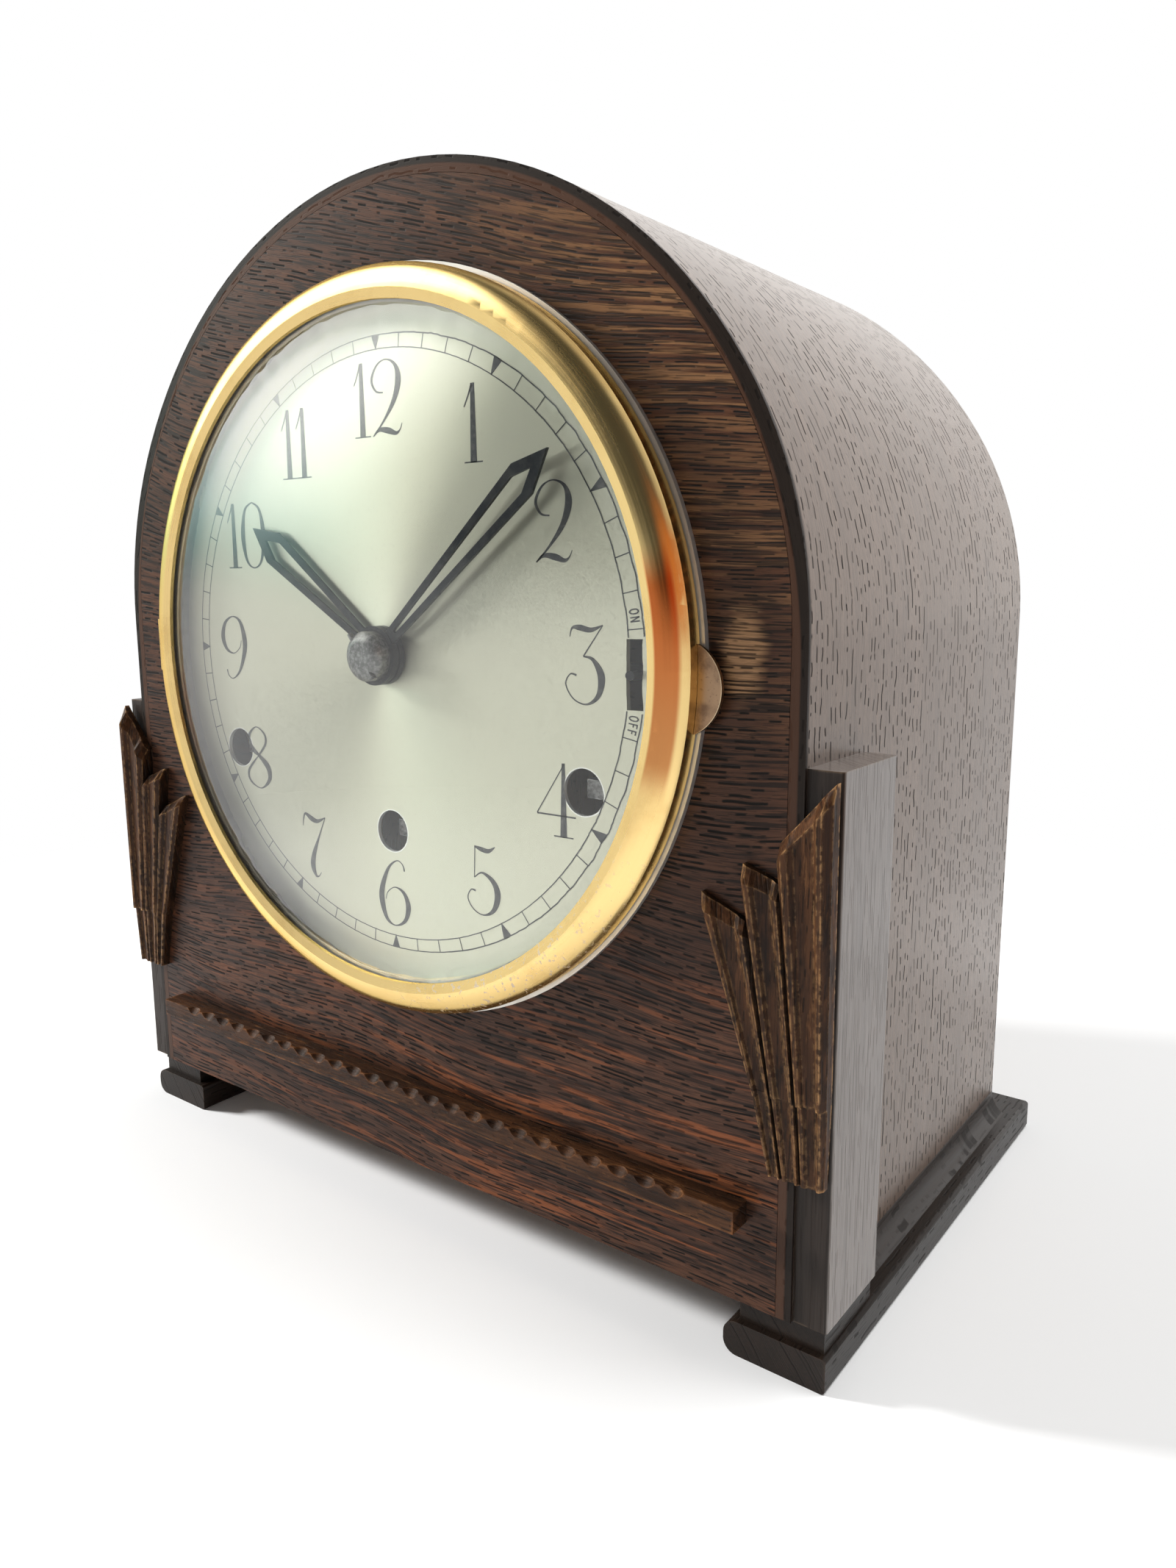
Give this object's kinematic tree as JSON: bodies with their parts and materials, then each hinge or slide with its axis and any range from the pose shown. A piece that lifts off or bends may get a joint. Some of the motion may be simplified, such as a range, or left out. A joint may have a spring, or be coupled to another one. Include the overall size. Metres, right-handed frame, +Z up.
{
  "type": "chiming mantel clock",
  "caption": "Arched oak mantel clock on two rails with carved fans, hinged brass bezel, domed glass and a pendulum movement with rod gongs.",
  "frame": {"origin": "on the ground below the middle of the clock's box", "axes": "+Z up, +Y from the dial to the back, +X to the right as seen from the front"},
  "size_m": [0.2458, 0.1656, 0.2692],
  "materials": {
    "oak_veneer": "polished oak veneer with open pores, worn lacquer",
    "oak_board": "stained oak veneer, worn lacquer",
    "oak_pilaster": "stained oak, worn",
    "carved_wood": "stained carved beech, rubbed on the edges",
    "dark_wood": "near-black stained hardwood",
    "inner_wood": "plain unfinished wood",
    "door_wood": "stained plywood",
    "bezel_brass": "polished brass with tarnish and scratches",
    "plated_ring": "plated steel",
    "lens_glass": "clear domed glass",
    "silvered_dial": "silvered and lacquered brass with dark printing",
    "blued_steel": "dark blued steel",
    "plate_brass": "rolled brass, lightly tarnished",
    "wheel_brass": "cut brass wheel work",
    "bright_steel": "bright turned steel",
    "gong_iron": "grey cast iron"
  },
  "bodies": {
    "case": {"back_frame": "inner_wood", "back_plate": "plate_brass", "base_rail_left": "dark_wood", "base_rail_right": "dark_wood", "bezel_hinge_leaf": "bezel_brass", "bezel_seat_ring": "plated_ring", "bottom_board": "inner_wood", "case_wrap": "oak_veneer", "dial_plate": "silvered_dial", "door_hinge_leaves": "plate_brass", "fan_left": "carved_wood", "fan_right": "carved_wood", "front_board": "oak_board", "front_moulding": "carved_wood", "front_plate": "plate_brass", "gong_block": "gong_iron", "gong_rods": "bright_steel", "hammer_bracket": "plate_brass", "movement_posts": "bright_steel", "pilaster_left": "oak_pilaster", "pilaster_right": "oak_pilaster", "plate_pillars": "bright_steel", "suspension_cock": "plate_brass"},
    "bezel_door": {"bezel": "bezel_brass", "bezel_glass": "lens_glass", "glass_retainer": "plated_ring", "bezel_tab": "bezel_brass", "bezel_hinge_flap": "bezel_brass"},
    "rear_door": {"back_door": "door_wood", "door_hinge_flaps": "plate_brass", "door_knob": "plate_brass"},
    "minute_work": {"minute_hand": "blued_steel", "hand_nut": "blued_steel", "cannon_pinion": "wheel_brass"},
    "hour_work": {"hour_hand": "blued_steel", "hour_wheel": "wheel_brass"},
    "minute_wheel_set": {"minute_wheel": "wheel_brass"},
    "centre_set": {"centre_wheel": "wheel_brass"},
    "intermediate_set": {"intermediate_wheel": "wheel_brass"},
    "time_barrel_set": {"time_barrel": "wheel_brass"},
    "third_set": {"third_wheel": "wheel_brass"},
    "escape_set": {"escape_wheel": "wheel_brass"},
    "anchor_set": {"anchor": "bright_steel"},
    "pendulum": {"suspension_spring": "blued_steel", "pendulum_rod": "bright_steel", "pendulum_bob": "plate_brass", "rating_nut": "plate_brass"},
    "chime_lever": {"chime_silent_lever": "blued_steel"},
    "strike_barrel_set": {"strike_barrel": "wheel_brass"},
    "chime_barrel_set": {"chime_barrel": "wheel_brass"},
    "time_winding_set": {"time_winding_arbor": "bright_steel"},
    "time_click_set": {"time_click": "bright_steel"},
    "strike_winding_set": {"strike_winding_arbor": "bright_steel"},
    "strike_click_set": {"strike_click": "bright_steel"},
    "chime_winding_set": {"chime_winding_arbor": "bright_steel"},
    "chime_click_set": {"chime_click": "bright_steel"},
    "hammer_1_set": {"hammer_1": "bright_steel"},
    "hammer_2_set": {"hammer_2": "bright_steel"},
    "hammer_3_set": {"hammer_3": "bright_steel"},
    "hammer_4_set": {"hammer_4": "bright_steel"}
  },
  "joints": [
    {"name": "bezel_hinge", "type": "hinge", "parent": "case", "child": "bezel_door", "pos_m": [-0.0946, -0.07155, 0.1537], "axis": [0, 0, -1], "range_deg": [0, 100]},
    {"name": "rear_door_hinge", "type": "hinge", "parent": "case", "child": "rear_door", "pos_m": [-0.0978, 0.07205, 0.101], "axis": [0, 0, 1], "range_deg": [0, 105]},
    {"name": "minute_spin", "type": "hinge", "parent": "case", "child": "minute_work", "pos_m": [0, -0.04825, 0.1537], "axis": [0, 1, 0], "continuous": true},
    {"name": "hour_spin", "type": "hinge", "parent": "case", "child": "hour_work", "pos_m": [0, -0.04825, 0.1537], "axis": [0, 1, 0], "continuous": true},
    {"name": "minute_wheel_spin", "type": "hinge", "parent": "case", "child": "minute_wheel_set", "pos_m": [-0.01485, -0.04825, 0.16855], "axis": [0, 1, 0], "continuous": true},
    {"name": "centre_spin", "type": "hinge", "parent": "case", "child": "centre_set", "pos_m": [0, -0.04825, 0.1537], "axis": [0, 1, 0], "continuous": true},
    {"name": "intermediate_spin", "type": "hinge", "parent": "case", "child": "intermediate_set", "pos_m": [-0.01266, -0.04825, 0.13694], "axis": [0, 1, 0], "continuous": true},
    {"name": "time_barrel_spin", "type": "hinge", "parent": "case", "child": "time_barrel_set", "pos_m": [0, -0.04825, 0.1081], "axis": [0, 1, 0], "continuous": true},
    {"name": "third_spin", "type": "hinge", "parent": "case", "child": "third_set", "pos_m": [0.01386, -0.04825, 0.16756], "axis": [0, 1, 0], "continuous": true},
    {"name": "escape_spin", "type": "hinge", "parent": "case", "child": "escape_set", "pos_m": [0, -0.04825, 0.17705], "axis": [0, 1, 0], "continuous": true},
    {"name": "pendulum_swing", "type": "hinge", "parent": "case", "child": "pendulum", "pos_m": [0, 0.00175, 0.19406], "axis": [0, 1, 0], "range_deg": [-4, 4]},
    {"name": "anchor_rock", "type": "hinge", "parent": "case", "child": "anchor_set", "pos_m": [0, -0.04825, 0.19406], "axis": [0, 1, 0], "range_deg": [-4, 4]},
    {"name": "chime_lever_swing", "type": "hinge", "parent": "case", "child": "chime_lever", "pos_m": [0.036, -0.06225, 0.1519], "axis": [0, 1, 0], "range_deg": [-9, 9]},
    {"name": "strike_barrel_spin", "type": "hinge", "parent": "case", "child": "strike_barrel_set", "pos_m": [-0.0618, -0.04825, 0.125], "axis": [0, 1, 0], "continuous": true},
    {"name": "chime_barrel_spin", "type": "hinge", "parent": "case", "child": "chime_barrel_set", "pos_m": [0.0618, -0.04825, 0.125], "axis": [0, 1, 0], "continuous": true},
    {"name": "time_winding_spin", "type": "hinge", "parent": "case", "child": "time_winding_set", "pos_m": [0, -0.04825, 0.1081], "axis": [0, 1, 0], "continuous": true},
    {"name": "time_click_lift", "type": "hinge", "parent": "case", "child": "time_click_set", "pos_m": [0.014, -0.00825, 0.1175], "axis": [0, 1, 0], "range_deg": [0, 12], "stiffness_Nm_per_rad": 0.004, "springref_deg": -8.59},
    {"name": "strike_winding_spin", "type": "hinge", "parent": "case", "child": "strike_winding_set", "pos_m": [-0.0618, -0.04825, 0.125], "axis": [0, 1, 0], "continuous": true},
    {"name": "strike_click_lift", "type": "hinge", "parent": "case", "child": "strike_click_set", "pos_m": [-0.0478, -0.00825, 0.1344], "axis": [0, 1, 0], "range_deg": [0, 12], "stiffness_Nm_per_rad": 0.004, "springref_deg": -8.59},
    {"name": "chime_winding_spin", "type": "hinge", "parent": "case", "child": "chime_winding_set", "pos_m": [0.0618, -0.04825, 0.125], "axis": [0, 1, 0], "continuous": true},
    {"name": "chime_click_lift", "type": "hinge", "parent": "case", "child": "chime_click_set", "pos_m": [0.0758, -0.00825, 0.1344], "axis": [0, 1, 0], "range_deg": [0, 12], "stiffness_Nm_per_rad": 0.004, "springref_deg": -8.59},
    {"name": "hammer_1_lift", "type": "hinge", "parent": "case", "child": "hammer_1_set", "pos_m": [-0.058, 0.01575, 0.066], "axis": [0, -1, 0], "range_deg": [0, 18]},
    {"name": "hammer_2_lift", "type": "hinge", "parent": "case", "child": "hammer_2_set", "pos_m": [-0.058, 0.02575, 0.066], "axis": [0, -1, 0], "range_deg": [0, 18]},
    {"name": "hammer_3_lift", "type": "hinge", "parent": "case", "child": "hammer_3_set", "pos_m": [-0.058, 0.03575, 0.066], "axis": [0, -1, 0], "range_deg": [0, 18]},
    {"name": "hammer_4_lift", "type": "hinge", "parent": "case", "child": "hammer_4_set", "pos_m": [-0.058, 0.04575, 0.066], "axis": [0, -1, 0], "range_deg": [0, 18]}
  ],
  "couplings": [
    {"joint": "hour_spin", "follows": "minute_spin", "ratio": 0.083333},
    {"joint": "minute_wheel_spin", "follows": "minute_spin", "ratio": -0.33333},
    {"joint": "intermediate_spin", "follows": "centre_spin", "ratio": -0.16667},
    {"joint": "time_barrel_spin", "follows": "centre_spin", "ratio": 0.027778},
    {"joint": "third_spin", "follows": "centre_spin", "ratio": -6},
    {"joint": "escape_spin", "follows": "centre_spin", "ratio": 36},
    {"joint": "anchor_rock", "follows": "pendulum_swing", "ratio": 1}
  ]
}
